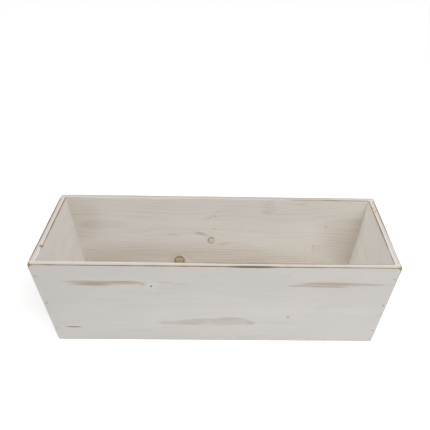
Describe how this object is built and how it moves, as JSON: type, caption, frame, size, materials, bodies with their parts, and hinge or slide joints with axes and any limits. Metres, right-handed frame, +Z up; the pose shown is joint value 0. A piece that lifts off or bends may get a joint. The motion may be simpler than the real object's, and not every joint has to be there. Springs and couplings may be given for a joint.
{
  "type": "window box planter",
  "caption": "Long open-topped planter box of whitewashed pine boards; all four walls lean outwards from a smaller floor to a flat rim, and the joints are nailed.",
  "frame": {"origin": "middle of the underside, level with the surface that the box stands on", "axes": "+X along the length of the box, to the right when the front is seen; the front faces -Y; +Z up"},
  "size_m": [0.56, 0.224, 0.152],
  "materials": {
    "whitewashed_pine": "thin matt grey-white wash over planed knotty pine, grain and tan stains showing through, worn to bare orange-brown wood along the arrises",
    "nail_steel": "dull dark grey-brown wire nail, head set just under the wood's face"
  },
  "bodies": {
    "root": {"front_board": "whitewashed_pine", "back_board": "whitewashed_pine", "left_end_board": "whitewashed_pine", "right_end_board": "whitewashed_pine", "bottom_board": "whitewashed_pine", "front_left_nail_top": "nail_steel", "front_left_nail_middle": "nail_steel", "front_left_nail_bottom": "nail_steel", "front_right_nail_top": "nail_steel", "front_right_nail_middle": "nail_steel", "front_right_nail_bottom": "nail_steel", "back_left_nail_top": "nail_steel", "back_left_nail_middle": "nail_steel", "back_left_nail_bottom": "nail_steel", "back_right_nail_top": "nail_steel", "back_right_nail_middle": "nail_steel", "back_right_nail_bottom": "nail_steel", "bottom_nail_front_1": "nail_steel", "bottom_nail_front_2": "nail_steel", "bottom_nail_front_3": "nail_steel", "bottom_nail_front_4": "nail_steel", "bottom_nail_back_1": "nail_steel", "bottom_nail_back_2": "nail_steel", "bottom_nail_back_3": "nail_steel", "bottom_nail_back_4": "nail_steel", "bottom_nail_left_1": "nail_steel", "bottom_nail_left_2": "nail_steel", "bottom_nail_right_1": "nail_steel", "bottom_nail_right_2": "nail_steel"}
  },
  "joints": []
}
